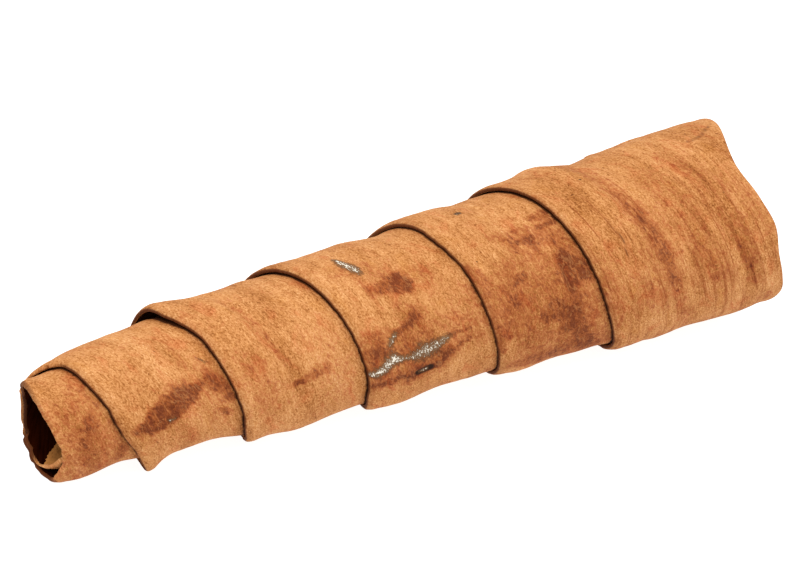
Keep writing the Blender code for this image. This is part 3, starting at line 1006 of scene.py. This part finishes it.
# %% [markdown]
# ### The inner face
#
# The inner face was next to the wood. It is smoother than the outer one, with long straight
# grain, and a darker and redder brown. Towards the narrow end it is darkened as painted shade.
# The torn ply of the flap is the one pale part of it.

# %% Inner face: long grain, with painted shade towards the narrow end
BORE_SHADE_FULL_UNTIL = 70.0           # millimetres wound, from the narrow end
BORE_SHADE_ENDS = 180.0
inner_face, tree, shader = new_finish("inner_face_of_bark", roughness=0.9, gloss=0.0)
place = add(tree, "Attribute", {"attribute_name": "grain"}, {}, "Vector")
wound_so_far = add(tree, "SeparateXYZ", {}, {0: place})
grain = pattern(tree, place, (5.0, 0.35), 4, 3, warp=0.3)
clouds = pattern(tree, place, (7.0, 4.0), 4, 13)
tone = added_up(tree, 0.5, ((grain, 1.0), (clouds, 0.8)))
colour = tint(tree, linear("#6A3A1C"), tone, 0.45, 0.80, 1.0, "#86502A")
colour = tint(tree, colour, tone, 0.50, 0.20, 1.0, "#43200E")
# painted shade of the deep bore: the colour is multiplied darker towards the narrow end
colour = tint(tree, colour, wound_so_far, BORE_SHADE_ENDS, BORE_SHADE_FULL_UNTIL, 1.0, "#5E4336", "MULTIPLY")

# %% Inner face: the pale torn ply, and everything into the shader
ply = add(tree, "Attribute", {"attribute_name": "ply"}, {}, "Fac")
flecks = pattern(tree, place, (1.1, 0.6), 4, 7, roughness=0.7, warp=0.8)
torn = added_up(tree, ply, ((flecks, 0.6),))
colour = tint(tree, colour, torn, 0.44, 0.56, 1.0, "#B0743C")
flecked = add(tree, "Math", {"operation": "MULTIPLY"}, {0: ply, 1: flecks})
colour = tint(tree, colour, flecked, 0.50, 0.68, 0.7, "#74461F")
bump = add(tree, "Bump", {}, {"Strength": 0.5, "Distance": 0.08 * MM, "Height": grain})
tree.links.new(colour, shader.inputs["Base Color"])
tree.links.new(bump, shader.inputs["Normal"])
print(len(tree.nodes), "nodes for the inner face")

# %% Put both finishes on the stick
for finish in (peeled_bark, inner_face):
    mesh.materials.append(finish)
print("finishes", [finish.name for finish in mesh.materials])

# %% [markdown]
# ## The studio
#
# The stick lies on a light table: a plain white sheet of plastic that is lit a little from
# below, as for a catalogue. The light comes from everywhere, with a little more from a soft box
# that hangs above and in front, so the shadow on the table is faint.

# %% The table
FLOOR_SIZE = 3.0            # metres
floor_bm = bmesh.new()
bmesh.ops.create_grid(floor_bm, x_segments=1, y_segments=1, size=FLOOR_SIZE / 2)
floor_mesh = bpy.data.meshes.new("table")
floor_bm.to_mesh(floor_mesh)
floor_bm.free()
floor = bpy.data.objects.new("table", floor_mesh)
bpy.context.scene.collection.objects.link(floor)
print("table", FLOOR_SIZE, "m wide")

# %% The table's white plastic, lit from below
GLOW = 0.92                 # where 1 is pure white
white, _, white_shader = new_finish("opal_acrylic_sheet", roughness=0.9, gloss=0.0)
white_shader.inputs["Base Color"].default_value = linear("#A0A0A0")
white_shader.inputs["Emission Color"].default_value = linear("#FFFFFF")
white_shader.inputs["Emission Strength"].default_value = GLOW
floor_mesh.materials.append(white)
print("table's finish", white.name)

# %% Light from everywhere
ROOM_LIGHT = 1.05           # where 1 is pure white
world = bpy.data.worlds.new("soft_room")
world.use_nodes = True
background = world.node_tree.nodes["Background"]
background.inputs["Color"].default_value = linear("#FFFFFF")
background.inputs["Strength"].default_value = ROOM_LIGHT
bpy.context.scene.world = world
print("room light", ROOM_LIGHT)

# %% The soft box
BOX_SIZE = 0.6              # metres
BOX_POWER = 5.0             # watts
LAMP_PLACE = (-0.20, -0.24, 0.71)   # metres
light = bpy.data.lights.new("soft_box_above", "AREA")
light.shape = "DISK"
light.size = BOX_SIZE
light.energy = BOX_POWER
lamp = bpy.data.objects.new("soft_box_above", light)
lamp.location = LAMP_PLACE
lamp.rotation_euler = (-lamp.location).to_track_quat("-Z", "Y").to_euler()
bpy.context.scene.collection.objects.link(lamp)
print("lamp", round(lamp.location.length, 2), "m from the stick")

# %% [markdown]
# ## The camera
#
# A small thing looks most like itself from some way off, through a long lens. From close by its
# near end would swell, and its taper would look other than it is.

# %% Camera
AZIMUTH, ELEVATION, ROLL = 29.87, 27.52, 0.974     # degrees
DISTANCE = 500.3 * MM
AIM = Vector((0, -0.44, 14.53)) * MM
LENS = 184.5                # millimetres
SENSOR = 36                 # millimetres wide
NEAREST = 0.01              # metres: nothing nearer to the camera is drawn
camera = bpy.data.objects.new("camera", bpy.data.cameras.new("camera"))
camera.data.lens = LENS
camera.data.sensor_width = SENSOR
camera.data.clip_start = NEAREST
turned = Matrix.Rotation(radians(-AZIMUTH), 4, "Z") @ Matrix.Rotation(radians(90 - ELEVATION), 4, "X")
camera.matrix_world = (
    Matrix.Translation(AIM) @ turned @ Matrix.Translation((0, 0, DISTANCE))
    @ Matrix.Rotation(radians(ROLL), 4, "Z")
)
bpy.context.scene.collection.objects.link(camera)
bpy.context.scene.camera = camera
bpy.context.scene.view_settings.view_transform = "Standard"
print("camera", round(DISTANCE / MM), "mm off, with a lens of", LENS, "mm")
